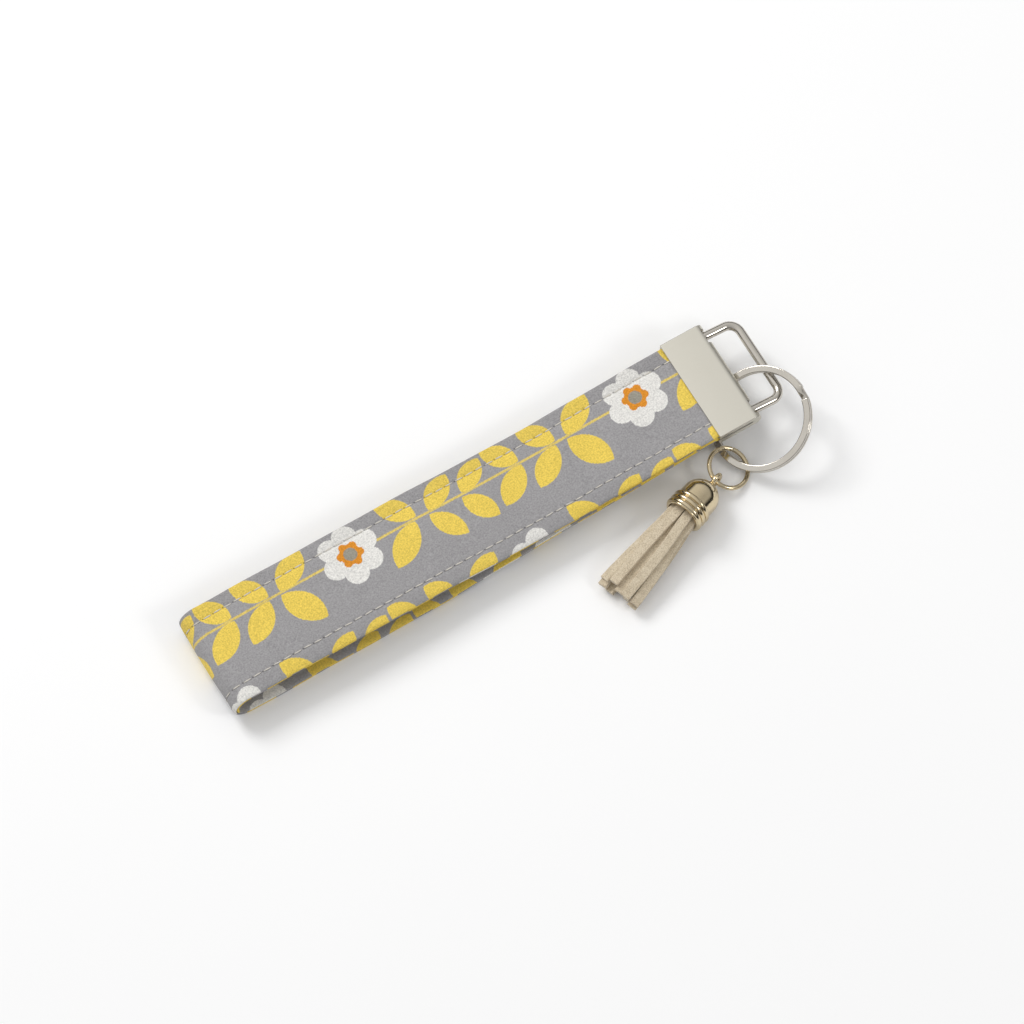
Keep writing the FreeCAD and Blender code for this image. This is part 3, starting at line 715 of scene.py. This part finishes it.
def make_strap(route):
    section = strap_section()
    lengths = section_lengths(section)
    count = int(route.length / RING_STEP)
    stations = route.length - np.arange(count, -1, -1) * RING_STEP
    stations = np.concatenate([[0.0], stations[stations > RING_STEP / 2]])
    columns = []
    for across, offset in section:
        moved = shaped_offset(route, stations, across, offset)
        from_clamp = np.minimum(stations, route.length - stations) - STRAP_BITE
        drift = edge_drift(stations) * smooth(from_clamp / (12 * MM)) * abs(across) / STRAP_EDGE
        columns.append(route.at(stations, across + drift, moved))
    grid = np.stack(columns, axis=1)
    mesh = mesh_of("printed_strap", grid.reshape(-1, 3), skin(grid, False, False), 180)
    chart = mesh.uv_layers.new(name="cloth")
    along = np.repeat(stations / route.length, len(section))
    spread = (lengths - lengths[0]) / (lengths[-1] - lengths[0])
    across = np.tile(spread, len(stations))
    corner = np.zeros(len(mesh.loops), int)
    mesh.loops.foreach_get("vertex_index", corner)
    chart.data.foreach_set("uv", np.stack([along[corner], across[corner]], -1).ravel())
    cotton = make_cotton(route.length, lengths[0], lengths[-1])
    strap = new_piece("printed_strap", mesh, cotton)
    wall = strap.modifiers.new("cotton_thickness", "SOLIDIFY")
    wall.thickness = COTTON_THICK
    wall.offset = 0
    return strap, lengths[-1] - lengths[0]


def make_filling(route, material):
    """The interfacing: a strip in the middle of the strap's thickness."""
    stations = np.arange(0, route.length, RING_STEP)
    places = np.linspace(-CORE_EDGE, CORE_EDGE, 33)
    columns = []
    for across in places:
        level = shaped_offset(route, stations, across, 0.0)
        columns.append(route.at(stations, np.full_like(stations, across), level))
    grid = np.stack(columns, axis=1)
    mesh = mesh_of("interfacing_strip", grid.reshape(-1, 3), skin(grid, False, False), 180)
    filling = new_piece("interfacing_strip", mesh, material)
    wall = filling.modifiers.new("interfacing_thickness", "SOLIDIFY")
    wall.thickness = CORE_THICK
    wall.offset = 0
    return filling


# ---------------------------------------------------------------- stitches

def make_stitch_tree():
    """Puts a stitch on every point, along its run and facing its lift."""
    tree = bpy.data.node_groups.new("stitch_row", "GeometryNodeTree")
    face = tree.interface
    face.new_socket("Geometry", in_out="INPUT", socket_type="NodeSocketGeometry")
    for name in ("Length", "Width", "Height"):
        face.new_socket(name, in_out="INPUT", socket_type="NodeSocketFloat")
    face.new_socket("Thread", in_out="INPUT", socket_type="NodeSocketMaterial")
    face.new_socket("Geometry", in_out="OUTPUT", socket_type="NodeSocketGeometry")

    def add(kind, **settings):
        node = tree.nodes.new(kind)
        for key, value in settings.items():
            setattr(node, key, value)
        return node

    def link(source, target):
        tree.links.new(source, target)

    entry = add("NodeGroupInput")
    bead = add("GeometryNodeMeshUVSphere")
    bead.inputs["Segments"].default_value = 8
    bead.inputs["Rings"].default_value = 6
    bead.inputs["Radius"].default_value = 0.5
    sizes = add("ShaderNodeCombineXYZ")
    for axis, name in enumerate(("Length", "Width", "Height")):
        link(entry.outputs[name], sizes.inputs[axis])
    shaped = add("GeometryNodeTransform")
    link(bead.outputs["Mesh"], shaped.inputs["Geometry"])
    link(sizes.outputs[0], shaped.inputs["Scale"])
    turn = add("FunctionNodeAxesToRotation", primary_axis="X", secondary_axis="Z")
    for name, target in (("run", turn.inputs[0]), ("lift", turn.inputs[1])):
        direction = add("GeometryNodeInputNamedAttribute", data_type="FLOAT_VECTOR")
        direction.inputs["Name"].default_value = name
        link(direction.outputs[0], target)
    spread = add("GeometryNodeInstanceOnPoints")
    link(entry.outputs["Geometry"], spread.inputs["Points"])
    link(shaped.outputs[0], spread.inputs["Instance"])
    link(turn.outputs[0], spread.inputs["Rotation"])
    real = add("GeometryNodeRealizeInstances")
    link(spread.outputs[0], real.inputs[0])
    rounded = add("GeometryNodeSetShadeSmooth")
    link(real.outputs[0], rounded.inputs["Geometry"])
    coloured = add("GeometryNodeSetMaterial")
    link(rounded.outputs[0], coloured.inputs["Geometry"])
    link(entry.outputs["Thread"], coloured.inputs["Material"])
    leave = add("NodeGroupOutput")
    link(coloured.outputs[0], leave.inputs[0])
    return tree


def grown(name, points, tree, values, material):
    """The plain mesh that a tree makes from an object of points."""
    seed = bpy.data.objects.new(name, points)
    bpy.context.scene.collection.objects.link(seed)
    modifier = seed.modifiers.new(name, "NODES")
    modifier.node_group = tree
    sockets = {
        item.name: item.identifier for item in tree.interface.items_tree
        if item.in_out == "INPUT"}
    for key, value in values.items():
        modifier[sockets[key]] = value
    depsgraph = bpy.context.evaluated_depsgraph_get()
    mesh = bpy.data.meshes.new_from_object(seed.evaluated_get(depsgraph))
    seed.modifiers.remove(modifier)
    bpy.data.objects.remove(seed)
    mesh.name = name
    return new_piece(name, mesh, material)


def make_stitches(route, name, tree, row, outward, material):
    """One row of stitches, from the clamp's mouth round the wrist loop and back."""
    first = math.ceil(STRAP_BITE / STITCH_PITCH)
    count = int((route.length - STRAP_BITE) / STITCH_PITCH) - first
    distance = route.length - (first + np.arange(count)) * STITCH_PITCH
    side = 1 if outward else -1
    surface = shaped_offset(route, distance, row, side * CLOTH_LEVEL)
    level = surface + side * (COTTON_THICK / 2 + 0.06 * MM)
    drift = edge_drift(distance) * abs(row) / STRAP_EDGE
    jitter = 0.05 * MM * np.sin(np.arange(count) * 2.4)
    places = route.at(distance, row + drift + jitter, level)
    heading = route.heading(distance)
    lean = 0.05 * np.sin(np.arange(count) * 1.7)
    runs = np.stack([np.cos(heading), lean, np.sin(heading)], -1)
    lifts = np.stack([-np.sin(heading), np.zeros(count), np.cos(heading)], -1) * side
    points = bpy.data.meshes.new(name)
    points.from_pydata([tuple(place) for place in places], [], [])
    for label, vectors in (("run", runs), ("lift", lifts)):
        attribute = points.attributes.new(label, "FLOAT_VECTOR", "POINT")
        attribute.data.foreach_set("vector", vectors.ravel())
    values = {
        "Length": STITCH_LENGTH, "Width": STITCH_WIDTH, "Height": STITCH_HEIGHT,
        "Thread": material}
    return grown(name, points, tree, values, material)


# ---------------------------------------------------------------- the metal pieces

def make_wire_loop(material):
    near = LOOP_HINGE_BEND
    far = LOOP_FAR_BEND
    line = []
    line += arc((near, near - LOOP_HALF), near, 180, 270, 10)
    line += arc((LOOP_REACH - far, far - LOOP_HALF), far, 270, 360, 16)
    line += arc((LOOP_REACH - far, LOOP_HALF - far), far, 0, 90, 16)
    line += arc((near, LOOP_HALF - near), near, 90, 180, 10)
    place = turned(LOOP_PIVOT, [("Y", LOOP_DROOP)])
    return make_wire("hinged_wire_loop", line, LOOP_WIRE, True, place, material)


def make_jump_ring(material):
    line = arc((0, 0), JUMP_RADIUS, 0, 360 - JUMP_GAP, 96)
    place = turned(JUMP_CENTRE, JUMP_TURNS)
    return make_wire("open_jump_ring", line, JUMP_WIRE, False, place, material)


def tassel_place():
    return turned(TASSEL_TOP, TASSEL_TURNS)


def make_eye(material):
    line = arc((0, 0), EYE_RADIUS, 0, 360, 48)[:-1]
    upright = Matrix.Rotation(math.radians(90), 4, "X")
    place = tassel_place() @ Matrix.Translation((-EYE_HEIGHT, 0, 0)) @ upright
    return make_wire("eye_wire_ring", line, EYE_WIRE, True, place, material)


def cap_profile():
    """(distance down the tassel, radius) round the cap: collar, dome, ridges, lip and bore."""
    dome = CAP_RADIUS
    profile = [
        (-0.5 * MM, 0.0), (-0.5 * MM, 0.95 * MM), (-0.42 * MM, 1.15 * MM),
        (-0.1 * MM, 1.25 * MM), (0.08 * MM, 1.45 * MM)]
    for degrees in np.linspace(163, 93, 28):
        angle = math.radians(degrees)
        profile.append((dome + dome * math.cos(angle), dome * math.sin(angle)))
    middle = RIDGE_REACH - RIDGE_RADIUS
    for i in range(RIDGE_COUNT):
        centre = RIDGE_START + i * RIDGE_PITCH
        for degrees in np.linspace(165, 15, 13):
            angle = math.radians(degrees)
            profile.append((
                centre + RIDGE_RADIUS * math.cos(angle), middle + RIDGE_RADIUS * math.sin(angle)))
    profile += [(CAP_LENGTH - 0.08 * MM, dome), (CAP_LENGTH, dome - 0.08 * MM)]
    profile += [(CAP_LENGTH, CAP_BORE + 0.05 * MM), (CAP_LENGTH - 0.06 * MM, CAP_BORE)]
    floor = CAP_LENGTH - CAP_BORE_DEPTH
    profile += [(floor + 0.1 * MM, CAP_BORE), (floor, CAP_BORE - 0.1 * MM), (floor, 0.0)]
    return profile


def make_cap(material):
    sides = 96
    points = []
    rings = []
    for distance, radius in cap_profile():
        angles = np.arange(sides) * 2 * math.pi / sides
        ring = [(distance, radius * math.cos(a), radius * math.sin(a)) for a in angles]
        rings.append(ring)
        points += ring
    mesh = mesh_of("ridged_cap", points, skin(rings, False, True))
    shape = bmesh.new()
    shape.from_mesh(mesh)
    bmesh.ops.remove_doubles(shape, verts=shape.verts, dist=0.001 * MM)
    bmesh.ops.recalc_face_normals(shape, faces=shape.faces)
    shape.to_mesh(mesh)
    shape.free()
    mesh.transform(tassel_place())
    smooth_over(mesh, 50)
    return new_piece("ridged_cap", mesh, material)


# ---------------------------------------------------------------- the suede laces

def lace_section():
    """A flat strip's outline with rounded corners, (across, up)."""
    corner = 0.22 * MM
    outline = []
    for quarter in range(4):
        sign_across = 1 if quarter in (0, 3) else -1
        sign_up = 1 if quarter in (0, 1) else -1
        centre = (
            sign_across * (LACE_WIDTH / 2 - corner), sign_up * (LACE_THICK / 2 - corner))
        outline += arc(centre, corner, quarter * 90, quarter * 90 + 90, 3)
    fuller = []
    for (x0, y0), (x1, y1) in zip(outline, outline[1:] + outline[:1]):
        steps = max(1, round(math.hypot(x1 - x0, y1 - y0) / (0.35 * MM)))
        fuller += [(x0 + (x1 - x0) * k / steps, y0 + (y1 - y0) * k / steps) for k in range(steps)]
    return np.array(fuller)


def spline_points(controls, name):
    """Points on the smooth line that a few control points pull."""
    curve = bpy.data.curves.new(name, "CURVE")
    curve.dimensions = "3D"
    curve.resolution_u = 16
    spline = curve.splines.new("NURBS")
    spline.points.add(len(controls) - 1)
    for point, control in zip(spline.points, controls):
        point.co = (*control, 1.0)
    spline.order_u = 3
    spline.use_endpoint_u = True
    holder = bpy.data.objects.new(name, curve)
    mesh = bpy.data.meshes.new_from_object(holder)
    points = np.array([vertex.co for vertex in mesh.vertices])
    bpy.data.objects.remove(holder)
    bpy.data.meshes.remove(mesh)
    return points


def lace_controls(across, up, number):
    """The route of a lace in the tassel's own frame: straight in the cap, then fanned and down."""
    bow = math.sin(number * 2.1)
    sway = 0.35 * MM * math.sin(number * 1.3 + 0.5)
    extra = 0.9 * MM * math.sin(number * 2.7)
    end = LACE_START + LACE_LENGTH + extra
    free = end - CAP_LENGTH
    fan = LACE_SPREAD - 1
    return [
        (LACE_START, across, up),
        (CAP_LENGTH, across, up),
        (CAP_LENGTH + free * 0.3, across * (1 + fan * 0.42) + sway, up - LACE_DROP * 0.32),
        (CAP_LENGTH + free * 0.65, across * (1 + fan * 0.8) + sway * bow, up - LACE_DROP * 0.70),
        (end, across * LACE_SPREAD - sway * 0.5, up - LACE_DROP),
    ]


def make_lace(number, across, up, material):
    name = "suede_lace_%02d" % number
    points = spline_points(lace_controls(across, up, number), name)
    section = lace_section()
    runs = np.gradient(points, axis=0)
    runs /= np.linalg.norm(runs, axis=1)[:, None]
    rings = []
    for i, (point, run) in enumerate(zip(points, runs)):
        share = i / (len(points) - 1)
        twist = math.radians(6 * math.sin(number * 1.9) - 22 * across / LACE_WIDTH) * share
        side = np.cross((0.0, 0.0, 1.0), run)
        side /= np.linalg.norm(side)
        lift = np.cross(run, side)
        turned_side = side * math.cos(twist) + lift * math.sin(twist)
        turned_lift = lift * math.cos(twist) - side * math.sin(twist)
        ring = [point + turned_side * x + turned_lift * y for x, y in section]
        rings.append([rough(place, 0.05 * MM) for place in ring])
    places = [place for ring in rings for place in ring]
    mesh = mesh_of(name, places, skin(rings, False, True, capped=True), 60)
    place = tassel_place()
    mesh.transform(place)
    face_outwards(mesh)
    path = [place @ Vector(point) for point in points]
    return new_piece(name, mesh, material), path


def rough(place, depth):
    """A point moved a little, as nap stands unevenly."""
    return np.array(place) + depth * np.array(noise.noise_vector(Vector(place) * 900))


def lace_layout():
    """(across, up) of each lace where it leaves the cap, layer by layer."""
    layout = []
    middle = (len(LACES_IN_LAYERS) - 1) / 2
    for level, count in enumerate(LACES_IN_LAYERS):
        up = (level - middle) * (LACE_THICK + LACE_GAP)
        for i in range(count):
            layout.append(((i - (count - 1) / 2) * (LACE_WIDTH + LACE_GAP), up))
    return layout


# ---------------------------------------------------------------- camera, light and floor

BRIGHT_AZIMUTH = -150
BRIGHT_ELEVATION = 35
LIGHT_DISTANCE = 1.3
VIEW_AZIMUTH = -30.9
VIEW_ELEVATION = 67
VIEW_WIDTH = 282.6 * MM
VIEW_TARGET = Vector((64.0 * MM, -1.3 * MM, 0))
LENS_MM = 300

# Name, azimuth, elevation, side of the panel, power.
LIGHTS = [
    ("key_panel", -165, 44, 0.5, 7.6),
    ("small_panel", 40, 38, 0.3, 2.4),
]


def direction_of(azimuth, elevation):
    a = math.radians(azimuth)
    e = math.radians(elevation)
    return Vector((math.sin(a) * math.cos(e), -math.cos(a) * math.cos(e), math.sin(e)))


def make_camera():
    camera = bpy.data.objects.new("camera", bpy.data.cameras.new("camera"))
    bpy.context.scene.collection.objects.link(camera)
    back = direction_of(VIEW_AZIMUTH, VIEW_ELEVATION)
    distance = VIEW_WIDTH * LENS_MM / camera.data.sensor_width
    camera.data.lens = LENS_MM
    camera.data.clip_start = 0.05
    camera.data.clip_end = 50
    camera.location = VIEW_TARGET + back * distance
    camera.rotation_mode = "QUATERNION"
    camera.rotation_quaternion = (-back).to_track_quat("-Z", "Y")
    bpy.context.scene.camera = camera


def make_light(name, azimuth, elevation, side, power):
    data = bpy.data.lights.new(name, "AREA")
    data.size = side
    data.energy = power
    light = bpy.data.objects.new(name, data)
    bpy.context.scene.collection.objects.link(light)
    back = direction_of(azimuth, elevation)
    light.location = VIEW_TARGET + back * LIGHT_DISTANCE
    light.rotation_mode = "QUATERNION"
    light.rotation_quaternion = (-back).to_track_quat("-Z", "Y")
    light.visible_camera = False


def make_world():
    """Bright overhead, brighter on one side and dark towards the horizon."""
    world = bpy.data.worlds.new("studio")
    world.use_nodes = True
    bpy.context.scene.world = world
    tree = world.node_tree
    background = tree.nodes["Background"]
    place = tree.nodes.new("ShaderNodeTexCoord")
    split = tree.nodes.new("ShaderNodeSeparateXYZ")
    tree.links.new(place.outputs["Generated"], split.inputs[0])
    toward = tree.nodes.new("ShaderNodeVectorMath")
    toward.operation = "DOT_PRODUCT"
    toward.inputs[1].default_value = direction_of(BRIGHT_AZIMUTH, BRIGHT_ELEVATION)
    tree.links.new(place.outputs["Generated"], toward.inputs[0])
    colours = []
    for source, stops in (
            (split.outputs["Z"], ((0.0, 0.03), (0.24, 0.07), (0.46, 1.0))),
            (toward.outputs["Value"], ((0.0, 0.55), (0.4, 0.72), (0.95, 1.0)))):
        ramp = tree.nodes.new("ShaderNodeValToRGB")
        set_stops(ramp.color_ramp, [(at, (grey, grey, grey, 1)) for at, grey in stops])
        tree.links.new(source, ramp.inputs["Fac"])
        colours.append(ramp.outputs["Color"])
    product = tree.nodes.new("ShaderNodeVectorMath")
    product.operation = "MULTIPLY"
    for index, colour in enumerate(colours):
        tree.links.new(colour, product.inputs[index])
    tree.links.new(product.outputs[0], background.inputs["Color"])
    background.inputs["Strength"].default_value = 0.95


def make_floor():
    half = 6.0
    corners = [(-half, -half, 0), (half, -half, 0), (half, half, 0), (-half, half, 0)]
    floor = new_piece("floor", mesh_of("floor", corners, [(0, 1, 2, 3)]), make_floor_paint())


def make_studio():
    bpy.context.scene.view_settings.view_transform = "Standard"
    make_camera()
    make_world()
    make_floor()
    for light in LIGHTS:
        make_light(*light)


# ---------------------------------------------------------------- the whole

def attach(piece, body, slot, *nodes):
    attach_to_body(piece, body)
    if nodes:
        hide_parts(*nodes)


def repaint(node, material):
    for slot in frame["nodes"][node].material_slots:
        slot.material = material


def build():
    make_studio()
    route = Route(strap_corners())
    thread = make_thread()
    polished = make_metal(
        "polished_nickel", rgb(214, 209, 200), rgb(180, 174, 164), 0.07, 3000, 0.01)
    satin = make_metal("satin_nickel", rgb(222, 218, 206), rgb(208, 204, 192), 0.34, 5000, 0.02)
    gold = make_metal("pale_gold", rgb(226, 213, 185), rgb(186, 165, 122), 0.07, 3000, 0.01)
    suede = make_suede()

    strap, cloth_width = make_strap(route)
    tree = make_stitch_tree()
    for side, row in (("near", -STITCH_ROW), ("far", STITCH_ROW)):
        for kind, outward in (("needle", True), ("bobbin", False)):
            name = "%s_%s_stitches" % (side, kind)
            piece = make_stitches(route, name, tree, row, outward, thread)
            attach(piece, "strap", "thread", "%s_%s_thread" % (side, kind))
    attach(strap, "strap", "printed_cotton", "strap_fabric")
    filling = make_filling(route, make_interfacing())
    attach(filling, "strap", "interfacing", "strap_core")

    clamp = softened("crimped_clamp", "clamp_shell", satin, 0.16 * MM, 3, polished)
    attach(clamp, "strap", "satin_nickel", "clamp_shell")
    attach(make_wire_loop(polished), "wire_loop", "polished_nickel", "wire_loop")
    ring = softened("split_key_ring", "split_ring", polished, 0.36 * MM, 4)
    attach(ring, "split_ring", "polished_nickel", "split_ring")
    attach(make_jump_ring(gold), "jump_ring", "pale_gold", "jump_ring")
    attach(make_eye(gold), "tassel", "pale_gold", "tassel_eye")
    attach(make_cap(gold), "tassel", "pale_gold", "tassel_cap")
    repaint("cap_glue", make_glue())
    noise.seed_set(NAP_SEED)
    for number, (across, up) in enumerate(lace_layout(), start=1):
        lace, path = make_lace(number, across, up, suede)
        attach(lace, "tassel", "suede", "suede_tail_%02d" % number)


build()
